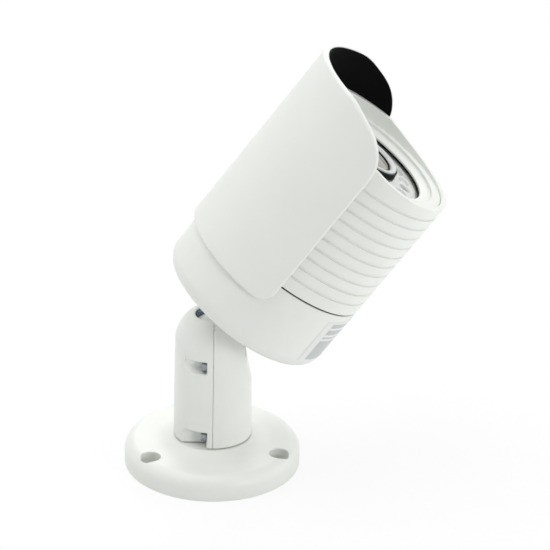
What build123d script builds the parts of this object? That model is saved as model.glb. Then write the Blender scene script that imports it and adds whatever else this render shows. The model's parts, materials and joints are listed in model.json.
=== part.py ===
from build123d import *
from math import acos, asin, cos, degrees, pi, radians, sin, sqrt
import os

# A bullet security camera on a three-axis bracket, in millimetres and degrees.
# The origin is the centre of the base's wall face. +Z runs up the post, +X is
# the side to which the camera leans, and -Y is the near side.

# Fits
running_gap = 0.3  # round pieces that turn in each other
seat_gap = 0.1  # flat faces and fixed pieces beside each other
thread_gap = 0.05  # a screw in its tapped hole
screw_gap = 0.2  # a screw in its clearance hole

# Pose of the camera on its ball
ball_height = 52.0
lean_angle = 36.0
roll_angle = -9.5

# Base flange
base_radius = 34.2
base_thickness = 9.6
base_edge_radius = 4.6
skirt_radius = 24.0
collar_radius = 15.9
collar_height = 2.6
mount_edge_distance = 5.6
mount_hole_count = 3
mount_hole_angle = 94.0
mount_hole_radius = 2.3
mount_head_radius = 3.8
mount_head_depth = 5.0
cable_bore_radius = 5.0

# Swivel spigot of the base
spigot_radius = 7.6
spigot_tip = 2.8
bead_overhang = 2.2
bead_thickness = 3.0
bead_lift = 8.2

# Post, in two half shells
foot_radius = 15.2
dome_radius = 14.8
rim_lift = 11.5
rim_rounding = 0.7
foot_gap = 0.4
seam_gap = 0.06
neck_slot_gap = 0.6
relief_drop = 18.0
relief_waist = 13.35
relief_waist_drop = 10.5
relief_crest = 12.0

# Clamp screws of the post
clamp_screw_offset = 12.2
upper_screw_drop = 5.3
lower_screw_lift = 4.0
pocket_gap = 0.7
pocket_wall = 2.4
clamp_shank_radius = 1.0
clamp_screw_length = 6.0
clamp_head_radius = 1.9
clamp_head_height = 2.0
clamp_key_radius = 0.87

# Ball stud with its nut and washer
ball_radius = 10.5
neck_radius = 6.4
shank_radius = 5.4
stud_bore_radius = 3.4
nut_thickness = 5.0
nut_flat_radius = 8.5
washer_thickness = 1.0
washer_radius = 9.5
shank_reach = 2.5
grommet_wall = 1.7
grommet_depth = 4.0
grommet_lip_radius = 5.2
grommet_lip = 1.0

# Rear housing
rear_clearance = 1.8
rear_depth = 29.1
rear_wall = 3.0
rear_shell = 3.6
rear_draft = 0.1
rear_edge_radius = 6.6
joint_land = 3.0
joint_spigot_wall = 2.3
joint_spigot_length = 5.5
seal_thickness = 0.6
seal_recess = 0.6
neck_seal_radius = 9.0

# Housing screws, above and below the axis
housing_boss_radius = 3.6
housing_head_depth = 23.4
housing_head_radius = 2.7
housing_head_height = 3.0
housing_shank_radius = 1.5
housing_key_radius = 1.4
housing_screw_length = 20.0
barrel_boss_wall = 2.8
barrel_boss_length = 11.0

# Barrel, with the front rim that drops back below the hood
barrel_radius = 35.0
barrel_length = 57.2
barrel_wall = 3.0
collar_wall = 2.2
rim_break = -2.5
rim_half_height = -16.0
rim_half_drop = 2.5
rim_drop = 4.0
groove_count = 10
groove_start = 5.42
groove_pitch = 4.784
groove_width = 0.8
groove_depth = 0.7
ledge_depth = 10.2
ledge_thickness = 2.5

# Hood, with its outline in side view
hood_gap = 0.2
hood_wall = 2.0
hood_edge_radius = 1.3
hood_inner_edge_radius = 0.4
hood_overlap = 8.8
hood_overhang = 15.2
hood_lower_edge = -2.4
hood_corner_radius = 7.0
hood_brow_height = 23.0
hood_cheek_height = 13.5
hood_cheek_setback = 2.2
hood_turn_height = 3.9
hood_turn_setback = 6.9
hood_jaw_height = -0.5
hood_jaw_setback = 12.0
hood_temple_setback = 23.5
liner_thickness = 0.5
liner_inset = 0.2
hood_screw_depths = (35.5, 19.5)
hood_screw_head_radius = 2.2
hood_screw_head_height = 1.6
hood_screw_radius = 1.25
hood_screw_key_radius = 0.9
hood_thread_length = 1.6

# Window
window_border = 10.2
glass_thickness = 2.0
gasket_lip = 0.4
gasket_wall = 1.0
gasket_show = 0.3
ledge_show = 0.8
bezel_skirt_wall = 3.0
bezel_slope_width = 3.9
bezel_lip = 0.8
bezel_slope = 1.1
bezel_step = 1.1

# Infrared lamp board with its mask
mask_thickness = 1.0
mask_depth = 0.1
board_thickness = 1.6
led_board_depth = 3.5
led_board_gap = 1.0
led_pitch = 6.6
led_radius = 2.5
led_flange_radius = 2.9
led_flange = 1.0
led_height = 5.8
led_margin = 2.1
photocell_radius = 2.4
photocell_height = 2.2
led_standoff_length = 8.4
led_standoff_radius = 2.2
led_standoff_margin = 0.5
led_standoff_count = 3
led_screw_radius = 1.0
led_screw_length = 5.0
led_screw_head_radius = 1.9
led_screw_head_height = 1.2
led_screw_key_radius = 0.7

# Lens
lens_sink = 0.8
lens_radius = 9.9
lens_wall = 0.4
lens_thread_radius = 7.0
lens_shoulder = 1.0
lens_bore_radius = 5.4
lens_pocket_depth = 2.4
element_thickness = 2.0
element_crown = 1.2
shade_rise = 2.8
shade_gap = 0.2
shade_wall = 2.3
shade_bevel = 1.1
lens_seal_wall = 1.0
lens_seal_edge = 0.6
lens_board_gap = 0.7

# Inner frame and circuit boards
frame_thickness = 2.0
frame_gap = 0.5
frame_window = 24.0
frame_boss_radius = 3.2
frame_boss_sink = 0.4
frame_boss_count = 3
frame_boss_angle = 30.0
frame_screw_radius = 1.25
frame_screw_length = 8.0
frame_screw_head_radius = 2.3
frame_screw_head_height = 1.6
frame_screw_key_radius = 0.9
board_corner_gap = 2.5
standoff_margin = 2.0
standoff_radius = 2.5
standoff_stud_radius = 1.2
standoff_stud_length = 4.0
front_standoff_length = 6.4
rear_standoff_length = 10.4
board_screw_length = 6.0
board_screw_head_radius = 2.4
board_screw_head_height = 1.8
board_screw_key_radius = 0.9
sensor_side = 14.0
sensor_thickness = 1.4
processor_side = 15.0
processor_thickness = 1.6
header_size = (6.0, 12.0, 7.0)
header_edge_distance = 8.0

# Lens holder and infrared-cut filter
holder_side = 20.0
holder_length = 10.4
holder_pocket_side = 15.6
holder_pocket_depth = 2.8
holder_thread_depth = 5.0
light_hole_radius = 4.6
filter_slot_floor = 3.6
filter_slot_gap = 0.2
slider_width = 10.6
slider_thickness = 0.6
slider_travel = 9.0
slider_window_radius = 4.2
slider_margin = 2.0
coil_size = (5.0, 9.0, 3.0)

# Heights and radii on the bracket that the pieces share
mount_circle_radius = base_radius - mount_edge_distance
collar_top = base_thickness + collar_height
post_foot = collar_top + foot_gap
post_rim = ball_height + rim_lift
bead_bottom = collar_top + bead_lift
bead_radius = spigot_radius + bead_overhang
spigot_top = bead_bottom + bead_thickness + spigot_tip
upper_screw_height = ball_height - upper_screw_drop
lower_screw_height = post_foot + lower_screw_lift
pocket_radius = clamp_head_radius + pocket_gap
socket_radius = ball_radius + running_gap
neck_slot_radius = neck_radius + neck_slot_gap
post_bore_radius = spigot_radius + running_gap
relief_start = ball_height - relief_drop

# Planes of the camera: its axis runs from the ball's centre to the front
side_direction = Vector(0, -1, 0)
axis_direction = Vector(sin(radians(lean_angle)), 0, cos(radians(lean_angle)))
level_up = Vector(-cos(radians(lean_angle)), 0, sin(radians(lean_angle)))
camera_up = level_up * cos(radians(roll_angle)) + side_direction * sin(radians(roll_angle))
camera_plane = Plane((0, 0, ball_height), x_dir=camera_up, z_dir=axis_direction)
camera_axis = Axis(camera_plane.origin, camera_plane.z_dir)
camera_side = Plane(camera_plane.origin, x_dir=camera_plane.x_dir, z_dir=-camera_plane.y_dir)

# Stations along the camera axis, counted from the ball's centre
rear_face = dome_radius + rear_clearance
rear_inner_face = rear_face + rear_wall
seam_station = rear_face + rear_depth
barrel_rear = seam_station + seal_thickness
joint_spigot_end = seam_station + joint_spigot_length
barrel_boss_rear = joint_spigot_end + running_gap
rim_station = barrel_rear + barrel_length
hood_rear = seam_station - hood_overlap
hood_front = rim_station + hood_overhang
hood_screw_stations = [rim_station - depth for depth in hood_screw_depths]
housing_head_station = rear_face + housing_head_depth
ledge_front = rim_station - ledge_depth
ledge_rear = ledge_front - ledge_thickness
glass_rear = ledge_front + seat_gap
glass_front = glass_rear + glass_thickness
gasket_front = glass_front + gasket_lip
bezel_front = gasket_front + bezel_lip + bezel_slope
mask_front = ledge_front - mask_depth
led_board_front = ledge_rear - led_board_depth
led_board_rear = led_board_front - board_thickness
frame_front = led_board_rear - led_standoff_length
frame_rear = frame_front - frame_thickness
sensor_board_front = frame_rear - front_standoff_length
sensor_board_rear = sensor_board_front - board_thickness
main_board_front = sensor_board_rear - rear_standoff_length
main_board_rear = main_board_front - board_thickness
holder_front = sensor_board_front + holder_length
filter_slot_rear = sensor_board_front + filter_slot_floor
filter_slot_height = slider_thickness + 2 * filter_slot_gap
slider_rear = filter_slot_rear + filter_slot_gap
shade_front = glass_front + shade_rise
lens_front = shade_front - lens_sink
lens_rear = holder_front - holder_thread_depth + seat_gap
element_seat = lens_front - lens_pocket_depth
neck_shoulder = rear_face - seal_thickness - seat_gap
washer_station = rear_inner_face + seat_gap
nut_station = washer_station + washer_thickness
shank_end = nut_station + nut_thickness + shank_reach

# Radii about the camera axis
neck_hole_radius = shank_radius + running_gap
grommet_radius = stud_bore_radius + grommet_wall / 2
grommet_hole_radius = stud_bore_radius - grommet_wall / 2
barrel_bore_radius = barrel_radius - barrel_wall
front_bore_radius = barrel_radius - collar_wall
rear_radius = barrel_radius - rear_draft
rear_cavity_radius = rear_radius - rear_shell
rear_cavity_rounding = rear_edge_radius - rear_shell
joint_spigot_radius = barrel_bore_radius - running_gap
joint_bore_radius = joint_spigot_radius - joint_spigot_wall
hood_inner_radius = barrel_radius + hood_gap
hood_outer_radius = hood_inner_radius + hood_wall
housing_screw_circle = joint_spigot_radius - housing_boss_radius
housing_screw_places = [(housing_screw_circle, 0), (-housing_screw_circle, 0)]
barrel_boss_radius = housing_shank_radius + barrel_boss_wall
window_radius = barrel_radius - window_border
bezel_radius = front_bore_radius - seat_gap
bezel_skirt_radius = bezel_radius - bezel_skirt_wall
bezel_step_radius = window_radius + bezel_slope_width
gasket_radius = bezel_skirt_radius - seat_gap
gasket_channel_radius = gasket_radius - gasket_wall
gasket_lip_radius = window_radius - gasket_show
glass_radius = gasket_channel_radius - seat_gap
ledge_radius = window_radius - ledge_show
frame_radius = barrel_bore_radius - frame_gap
frame_boss_circle = barrel_bore_radius + frame_boss_sink - frame_boss_radius
led_board_radius = frame_boss_circle - frame_boss_radius - led_board_gap
led_board_hole_radius = lens_radius + lens_board_gap
led_circle_radius = ledge_radius - led_flange_radius - led_margin
lamps_between_standoffs = int(2 * pi * led_circle_radius / (led_standoff_count * led_pitch))
led_count = led_standoff_count * lamps_between_standoffs
led_standoff_circle = led_board_radius - led_standoff_radius - led_standoff_margin
shade_inner_radius = lens_radius + shade_gap
shade_outer_radius = shade_inner_radius + shade_wall
lens_seal_radius = shade_outer_radius + lens_seal_wall
lens_pocket_radius = lens_radius - lens_wall

# Sides of the circuit boards, whose corners stay clear of the rear housing's joint
board_side = sqrt(2) * (joint_bore_radius - board_corner_gap)
standoff_spacing = board_side - 2 * standoff_margin
header_offset = board_side / 2 - header_edge_distance


def turned(outline):
    """A piece turned about the camera axis, from (radius, station) corners."""
    with BuildPart() as piece:
        with BuildSketch(camera_side):
            with BuildLine():
                Polyline(*outline, close=True)
            make_face()
        revolve(axis=camera_axis)
    return piece.part


def socket_screw(head_radius, head_height, shank_radius, shank_length, key_radius):
    """A cap screw whose head stands on the XY plane and whose shank hangs below it."""
    with BuildPart() as screw:
        with BuildSketch(Plane.XY):
            Circle(head_radius)
        extrude(amount=head_height)
        with BuildSketch(Plane.XY.offset(head_height)):
            RegularPolygon(key_radius, 6)
        extrude(amount=-head_height / 2, mode=Mode.SUBTRACT)
        with BuildSketch(Plane.XY):
            Circle(shank_radius)
        extrude(amount=-shank_length)
    return screw.part


def facing_rear(across, along, station):
    """A plane in the camera whose normal points to the rear."""
    point = camera_plane.from_local_coords((across, along, station))
    return Plane(point, x_dir=camera_plane.x_dir, z_dir=-camera_plane.z_dir)


def facing_front(across, along, station):
    """A plane in the camera whose normal points to the front."""
    point = camera_plane.from_local_coords((across, along, station))
    return Plane(point, x_dir=camera_plane.x_dir, z_dir=camera_plane.z_dir)


def on_circle(radius, count, start):
    """Points on a circle about the camera axis, as (across, along)."""
    angles = [radians(start + 360.0 * step / count) for step in range(count)]
    return [(radius * cos(angle), radius * sin(angle)) for angle in angles]


# Base flange with its skirt, collar and swivel spigot
with BuildPart() as base_flange:
    with BuildSketch(Plane.XZ):
        with BuildLine():
            wall_face = Line((0, 0), (base_radius, 0))
            flange_wall = Line(wall_face @ 1, (base_radius, base_thickness - base_edge_radius))
            shoulder = RadiusArc(
                flange_wall @ 1, (base_radius - base_edge_radius, base_thickness), -base_edge_radius
            )
            flange_top = Line(shoulder @ 1, (skirt_radius, base_thickness))
            skirt = TangentArc(flange_top @ 1, (collar_radius, collar_top), tangent=flange_top % 1)
            Polyline(
                skirt @ 1,
                (spigot_radius, collar_top),
                (spigot_radius, bead_bottom),
                (bead_radius, bead_bottom),
                (bead_radius, bead_bottom + bead_thickness),
                (spigot_radius, bead_bottom + bead_thickness),
                (spigot_radius, spigot_top),
                (0, spigot_top),
                (0, 0),
            )
        make_face()
    revolve(axis=Axis.Z)
    with BuildSketch(Plane.XY):
        Circle(cable_bore_radius)
    extrude(amount=spigot_top, mode=Mode.SUBTRACT)
    with Locations(Plane.XY.offset(base_thickness)):
        with PolarLocations(mount_circle_radius, mount_hole_count, start_angle=mount_hole_angle):
            CounterBoreHole(mount_hole_radius, mount_head_radius, mount_head_depth)
base_flange.part.label = "base_flange"

# The post before it is split: tapered tube, domed top, ball socket and bead groove
with BuildPart() as post_blank:
    rim_angle = degrees(asin(rim_lift / dome_radius))
    with BuildSketch(Plane.XZ):
        with BuildLine():
            foot = Line((0, post_foot), (foot_radius, post_foot))
            Line(foot @ 1, (dome_radius, ball_height))
            dome = CenterArc((0, ball_height), dome_radius, 0, rim_angle)
            Polyline(dome @ 1, (0, post_rim), (0, post_foot))
        make_face()
    revolve(axis=Axis.Z)
    with BuildSketch(Plane.XY.offset(post_foot)):
        Circle(post_bore_radius)
    extrude(amount=ball_height - post_foot, mode=Mode.SUBTRACT)
    with BuildSketch(Plane.XY.offset(bead_bottom - running_gap)):
        Circle(bead_radius + running_gap)
    extrude(amount=bead_thickness + 2 * running_gap, mode=Mode.SUBTRACT)
    with BuildSketch(Plane.XY.offset(ball_height)):
        Circle(neck_slot_radius)
    extrude(amount=rim_lift, mode=Mode.SUBTRACT)
    fillet(post_blank.edges().group_by(Axis.Z)[-1], rim_rounding)
    with Locations((0, 0, ball_height)):
        Sphere(socket_radius, mode=Mode.SUBTRACT)

# Left half, with the pockets and clearance holes of the clamp screws
with BuildPart() as post_left:
    add(post_blank.part)
    split(bisect_by=Plane.YZ.offset(-seam_gap / 2), keep=Keep.BOTTOM)
    with BuildSketch(Plane.YZ.offset(-pocket_wall)):
        for side in (-1, 1):
            for height in (upper_screw_height, lower_screw_height):
                with Locations((side * clamp_screw_offset, height)):
                    Circle(pocket_radius)
                with Locations((side * (clamp_screw_offset + foot_radius / 2), height)):
                    Rectangle(foot_radius, 2 * pocket_radius)
            with Locations((side * clamp_screw_offset, lower_screw_height)):
                Rectangle(2 * pocket_radius, lower_screw_height, align=(Align.CENTER, Align.MAX))
            with Locations((side * (clamp_screw_offset + foot_radius / 2), lower_screw_height)):
                Rectangle(foot_radius, lower_screw_height, align=(Align.CENTER, Align.MAX))
    extrude(amount=-foot_radius, mode=Mode.SUBTRACT)
    with BuildSketch(Plane.YZ):
        for height in (upper_screw_height, lower_screw_height):
            with Locations((-clamp_screw_offset, height), (clamp_screw_offset, height)):
                Circle(clamp_shank_radius + screw_gap)
    extrude(amount=-pocket_wall, mode=Mode.SUBTRACT)
post_left.part.label = "post_left"

# Right half, with the slot for the neck, the relief below it and the tapped holes
with BuildPart() as post_right:
    add(post_blank.part)
    split(bisect_by=Plane.YZ.offset(seam_gap / 2), keep=Keep.TOP)
    with BuildSketch(Plane.YZ):
        with Locations((0, ball_height)):
            Circle(neck_slot_radius)
            Rectangle(2 * neck_slot_radius, 2 * rim_lift, align=(Align.CENTER, Align.MIN))
    extrude(amount=foot_radius, mode=Mode.SUBTRACT)
    with BuildSketch(Plane.XZ):
        with BuildLine():
            relief_top = post_rim + rim_rounding
            relief = ThreePointArc(
                (foot_radius, relief_start),
                (relief_waist, ball_height - relief_waist_drop),
                (relief_crest, relief_top),
            )
            Polyline(relief @ 1, (foot_radius, relief_top), relief @ 0)
        make_face()
    extrude(amount=foot_radius, both=True, mode=Mode.SUBTRACT)
    with BuildSketch(Plane.YZ):
        for height in (upper_screw_height, lower_screw_height):
            with Locations((-clamp_screw_offset, height), (clamp_screw_offset, height)):
                Circle(clamp_shank_radius + thread_gap)
    extrude(amount=clamp_screw_length - pocket_wall + seam_gap, mode=Mode.SUBTRACT)
post_right.part.label = "post_right"

# Clamp screws, two across the ball and two across the spigot
clamp_screw = socket_screw(
    clamp_head_radius, clamp_head_height, clamp_shank_radius, clamp_screw_length, clamp_key_radius
)
upper_seats = [
    Plane((-pocket_wall, side * clamp_screw_offset, upper_screw_height), z_dir=(-1, 0, 0)) for side in (-1, 1)
]
lower_seats = [
    Plane((-pocket_wall, side * clamp_screw_offset, lower_screw_height), z_dir=(-1, 0, 0)) for side in (-1, 1)
]
with BuildPart() as upper_clamp_screws:
    with Locations(*upper_seats):
        add(clamp_screw)
upper_clamp_screws.part.label = "upper_clamp_screws"

with BuildPart() as lower_clamp_screws:
    with Locations(*lower_seats):
        add(clamp_screw)
lower_clamp_screws.part.label = "lower_clamp_screws"

# Hollow ball with its neck and threaded shank
with BuildPart() as ball_stud:
    bore_angle = degrees(acos(stud_bore_radius / ball_radius))
    neck_angle = degrees(acos(neck_radius / ball_radius))
    with BuildSketch(camera_side):
        with BuildLine():
            ball = CenterArc((0, 0), ball_radius, -bore_angle, bore_angle + neck_angle)
            Polyline(
                ball @ 1,
                (neck_radius, neck_shoulder),
                (shank_radius, neck_shoulder),
                (shank_radius, shank_end),
                (grommet_radius, shank_end),
                (grommet_radius, shank_end - grommet_depth),
                (stud_bore_radius, shank_end - grommet_depth),
                ball @ 0,
            )
        make_face()
    revolve(axis=camera_axis)
ball_stud.part.label = "ball_stud"

# Washer and nut that hold the camera on the shank
with BuildPart() as neck_washer:
    with BuildSketch(camera_plane.offset(washer_station)):
        Circle(washer_radius)
        Circle(shank_radius + seat_gap, mode=Mode.SUBTRACT)
    extrude(amount=washer_thickness)
neck_washer.part.label = "neck_washer"

with BuildPart() as neck_nut:
    with BuildSketch(camera_plane.offset(nut_station)):
        RegularPolygon(nut_flat_radius, 6, major_radius=False)
        Circle(shank_radius + thread_gap, mode=Mode.SUBTRACT)
    extrude(amount=nut_thickness)
neck_nut.part.label = "neck_nut"

# Rubber bush in the end of the cable passage
with BuildPart() as cable_grommet:
    add(
        turned(
            [
                (grommet_hole_radius, shank_end - grommet_depth),
                (grommet_radius - seat_gap, shank_end - grommet_depth),
                (grommet_radius - seat_gap, shank_end),
                (grommet_lip_radius, shank_end),
                (grommet_lip_radius, shank_end + grommet_lip),
                (grommet_hole_radius, shank_end + grommet_lip),
            ]
        )
    )
cable_grommet.part.label = "cable_grommet"

# Rubber ring between the neck's shoulder and the rear housing
with BuildPart() as neck_seal:
    with BuildSketch(camera_plane.offset(rear_face - seal_thickness)):
        Circle(neck_seal_radius)
        Circle(neck_hole_radius, mode=Mode.SUBTRACT)
    extrude(amount=seal_thickness)
neck_seal.part.label = "neck_seal"

# Rear housing: a drafted cup with a rounded edge, joint spigot and two screw channels
with BuildPart() as rear_housing:
    with BuildSketch(camera_side):
        with BuildLine():
            rear = Line((neck_hole_radius, rear_face), (rear_radius - rear_edge_radius, rear_face))
            rear_edge = TangentArc(
                rear @ 1, (rear_radius, rear_face + rear_edge_radius), tangent=rear % 1
            )
            joint = Polyline(
                rear_edge @ 1,
                (barrel_radius, seam_station),
                (joint_spigot_radius, seam_station),
                (joint_spigot_radius, joint_spigot_end),
                (joint_bore_radius, joint_spigot_end),
                (joint_bore_radius, seam_station - joint_land),
                (rear_cavity_radius, seam_station - joint_land),
                (rear_cavity_radius, rear_inner_face + rear_cavity_rounding),
            )
            inner_edge = TangentArc(
                joint @ 1,
                (rear_cavity_radius - rear_cavity_rounding, rear_inner_face),
                tangent=joint % 1,
            )
            Polyline(inner_edge @ 1, (neck_hole_radius, rear_inner_face), rear @ 0)
        make_face()
    revolve(axis=camera_axis)
    with BuildSketch(camera_plane.offset(rear_inner_face)):
        with Locations(*housing_screw_places):
            Circle(housing_boss_radius)
    extrude(amount=joint_spigot_end - rear_inner_face)
    with BuildSketch(camera_plane.offset(rear_face)):
        with Locations(*housing_screw_places):
            Circle(housing_head_radius + running_gap)
    extrude(amount=housing_head_station - rear_face, mode=Mode.SUBTRACT)
    with BuildSketch(camera_plane.offset(housing_head_station)):
        with Locations(*housing_screw_places):
            Circle(housing_shank_radius + screw_gap)
    extrude(amount=joint_spigot_end - housing_head_station, mode=Mode.SUBTRACT)
rear_housing.part.label = "rear_housing"

# Black seal in the joint between the rear housing and the barrel
with BuildPart() as body_seal:
    with BuildSketch(camera_plane.offset(seam_station)):
        Circle(barrel_radius - seal_recess)
        Circle(joint_spigot_radius + seat_gap, mode=Mode.SUBTRACT)
    extrude(amount=seal_thickness)
body_seal.part.label = "body_seal"

# Planes on the axis from which the hood's screws run upwards
hood_screw_planes = [
    Plane(camera_plane.from_local_coords((0, 0, station)), z_dir=camera_plane.x_dir)
    for station in hood_screw_stations
]

# Barrel: turned tube with window ledge, bosses, grooves and a slanted front rim
frame_boss_places = on_circle(frame_boss_circle, frame_boss_count, frame_boss_angle)
with BuildPart() as barrel:
    add(
        turned(
            [
                (barrel_bore_radius, barrel_rear),
                (barrel_radius, barrel_rear),
                (barrel_radius, rim_station),
                (front_bore_radius, rim_station),
                (front_bore_radius, ledge_front),
                (ledge_radius, ledge_front),
                (ledge_radius, ledge_rear),
                (barrel_bore_radius, ledge_rear),
            ]
        )
    )
    with BuildSketch(camera_plane.offset(barrel_boss_rear)):
        with Locations(*housing_screw_places):
            Circle(barrel_boss_radius)
    extrude(amount=barrel_boss_length)
    with BuildSketch(camera_plane.offset(barrel_boss_rear)):
        with Locations(*housing_screw_places):
            Circle(housing_shank_radius + thread_gap)
    extrude(amount=barrel_boss_length - running_gap, mode=Mode.SUBTRACT)
    with BuildSketch(camera_plane.offset(frame_front)):
        with Locations(*frame_boss_places):
            Circle(frame_boss_radius)
    extrude(amount=ledge_rear - frame_front)
    with BuildSketch(camera_plane.offset(frame_front)):
        with Locations(*frame_boss_places):
            Circle(frame_screw_radius + thread_gap)
    extrude(amount=frame_screw_length, mode=Mode.SUBTRACT)
    with BuildSketch(camera_side):
        for step in range(groove_count):
            with Locations((barrel_radius, barrel_rear + groove_start + step * groove_pitch)):
                Rectangle(2 * groove_depth, groove_width)
    revolve(axis=camera_axis, mode=Mode.SUBTRACT)
    with BuildSketch(camera_side):
        with BuildLine():
            rim_foot = -barrel_radius - collar_wall
            rim_cut = ThreePointArc(
                (rim_break, rim_station),
                (rim_half_height, rim_station - rim_half_drop),
                (rim_foot, rim_station - rim_drop),
            )
            Polyline(rim_cut @ 1, (rim_foot, hood_front), (rim_break, hood_front), rim_cut @ 0)
        make_face()
    extrude(amount=2 * barrel_radius, both=True, mode=Mode.SUBTRACT)
    for seat in hood_screw_planes:
        with BuildSketch(seat):
            Circle(hood_screw_head_radius + seat_gap)
        extrude(amount=barrel_bore_radius, mode=Mode.SUBTRACT)
        with BuildSketch(seat):
            Circle(hood_screw_radius + seat_gap)
        extrude(amount=hood_outer_radius, mode=Mode.SUBTRACT)
barrel.part.label = "barrel"

# Screws that draw the rear housing to the barrel
housing_screw = socket_screw(
    housing_head_radius,
    housing_head_height,
    housing_shank_radius,
    housing_screw_length,
    housing_key_radius,
)
with BuildPart() as housing_screws:
    with Locations(*[facing_rear(*place, housing_head_station) for place in housing_screw_places]):
        add(housing_screw)
housing_screws.part.label = "housing_screws"


def hood_outline(inset):
    """The hood's outline in side view, as a sketch drawn in by the inset."""
    lower_edge = hood_lower_edge + inset
    front = hood_front - inset
    top = hood_outer_radius + hood_wall
    with BuildSketch(camera_side) as outline:
        with BuildLine():
            brow = Line((top, front), (hood_brow_height, front))
            cheek = Spline(
                brow @ 1,
                (hood_cheek_height, front - hood_cheek_setback),
                (hood_turn_height + inset, front - hood_turn_setback),
                (hood_jaw_height + inset, front - hood_jaw_setback),
                (lower_edge, front - hood_temple_setback),
                tangents=((-1, 0), (0, -1)),
            )
            lower = Line(cheek @ 1, (lower_edge, hood_rear + hood_corner_radius))
            corner = RadiusArc(
                lower @ 1, (lower_edge + hood_corner_radius, hood_rear), -hood_corner_radius
            )
            Polyline(corner @ 1, (top, hood_rear), brow @ 0)
        make_face()
    return outline.sketch


# Hood: half a tube over the barrel, open below, with a brow in front
with BuildPart() as hood:
    with BuildSketch(camera_plane.offset(hood_rear)):
        Circle(hood_outer_radius)
        Circle(hood_inner_radius, mode=Mode.SUBTRACT)
    extrude(amount=hood_front - hood_rear)
    extrude(hood_outline(0), amount=2 * hood_outer_radius, both=True, mode=Mode.INTERSECT)
    for place, rounding in ((-2, hood_inner_edge_radius), (-1, hood_edge_radius)):
        skin = hood.faces().filter_by(GeomType.CYLINDER).sort_by(SortBy.AREA)[place]
        fillet(skin.outer_wire().edges(), rounding)
    for seat in hood_screw_planes:
        with BuildSketch(seat):
            Circle(hood_screw_radius + thread_gap)
        extrude(amount=hood_inner_radius + hood_thread_length + seat_gap, mode=Mode.SUBTRACT)
hood.part.label = "hood"

# Matt black lining of the hood ahead of the barrel
with BuildPart() as hood_liner:
    with BuildSketch(camera_plane.offset(rim_station + seat_gap)):
        Circle(hood_inner_radius - thread_gap)
        Circle(hood_inner_radius - thread_gap - liner_thickness, mode=Mode.SUBTRACT)
    extrude(amount=hood_front - rim_station)
    extrude(hood_outline(liner_inset), amount=2 * hood_outer_radius, both=True, mode=Mode.INTERSECT)
hood_liner.part.label = "hood_liner"

# Screws from inside the barrel into the hood
hood_screw = socket_screw(
    hood_screw_head_radius,
    hood_screw_head_height,
    hood_screw_radius,
    hood_inner_radius + hood_thread_length - barrel_bore_radius,
    hood_screw_key_radius,
)
hood_screw_seats = [
    Plane(seat.offset(barrel_bore_radius).origin, z_dir=-camera_plane.x_dir) for seat in hood_screw_planes
]
with BuildPart() as hood_screws:
    with Locations(*hood_screw_seats):
        add(hood_screw)
hood_screws.part.label = "hood_screws"

# Bezel: threaded ring with a sloped lip over the window and a raised outer land
with BuildPart() as bezel:
    add(
        turned(
            [
                (window_radius, gasket_front),
                (window_radius, gasket_front + bezel_lip),
                (bezel_step_radius, bezel_front),
                (bezel_step_radius, bezel_front + bezel_step),
                (bezel_radius, bezel_front + bezel_step),
                (bezel_radius, ledge_front),
                (bezel_skirt_radius, ledge_front),
                (bezel_skirt_radius, gasket_front),
            ]
        )
    )
bezel.part.label = "bezel"

# Rubber ring over the window's edge
with BuildPart() as window_gasket:
    add(
        turned(
            [
                (gasket_channel_radius, ledge_front),
                (gasket_radius, ledge_front),
                (gasket_radius, gasket_front),
                (gasket_lip_radius, gasket_front),
                (gasket_lip_radius, glass_front),
                (gasket_channel_radius, glass_front),
            ]
        )
    )
window_gasket.part.label = "window_gasket"

# Window in front of the lamps, with a sealed hole for the lens
with BuildPart() as window_glass:
    with BuildSketch(camera_plane.offset(glass_rear)):
        Circle(glass_radius)
        Circle(lens_seal_radius + seat_gap, mode=Mode.SUBTRACT)
    extrude(amount=glass_thickness)
window_glass.part.label = "window_glass"

# Rubber collar between the window and the ring round the lens
with BuildPart() as lens_seal:
    lens_seal_bore = shade_outer_radius + seat_gap
    add(
        turned(
            [
                (lens_seal_bore, glass_rear),
                (lens_seal_radius, glass_rear),
                (lens_seal_radius, gasket_front),
                (lens_seal_bore + lens_seal_edge, shade_front - lens_seal_edge),
                (lens_seal_bore, shade_front - lens_seal_edge),
            ]
        )
    )
lens_seal.part.label = "lens_seal"

# Infrared lamp board with its lamps and light sensor
led_places = on_circle(led_circle_radius, led_count, 0)
led_standoff_places = on_circle(led_standoff_circle, led_standoff_count, 180.0 / led_count)
photocell_place = led_places[led_count // 2]
lamp_places = [place for place in led_places if place != photocell_place]
with BuildPart() as led_board:
    with BuildSketch(camera_plane.offset(led_board_rear)):
        Circle(led_board_radius)
        Circle(led_board_hole_radius, mode=Mode.SUBTRACT)
        with Locations(*led_standoff_places):
            Circle(led_screw_radius + seat_gap, mode=Mode.SUBTRACT)
    extrude(amount=board_thickness)
led_board.part.label = "led_board"

with BuildPart() as lamp:
    with BuildSketch(Plane.XZ):
        with BuildLine():
            shaft_top = led_height - led_radius
            lamp_side = Polyline(
                (0, 0),
                (led_flange_radius, 0),
                (led_flange_radius, led_flange),
                (led_radius, led_flange),
                (led_radius, shaft_top),
            )
            lamp_dome = CenterArc((0, shaft_top), led_radius, 0, 90)
            Line(lamp_dome @ 1, lamp_side @ 0)
        make_face()
    revolve(axis=Axis.Z)

with BuildPart() as ir_leds:
    with Locations(*[facing_front(*place, led_board_front) for place in lamp_places]):
        add(lamp.part)
ir_leds.part.label = "ir_leds"

with BuildPart() as photocell:
    with BuildSketch(camera_plane.offset(led_board_front)):
        with Locations(photocell_place):
            Circle(photocell_radius)
    extrude(amount=photocell_height)
photocell.part.label = "photocell"

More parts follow.
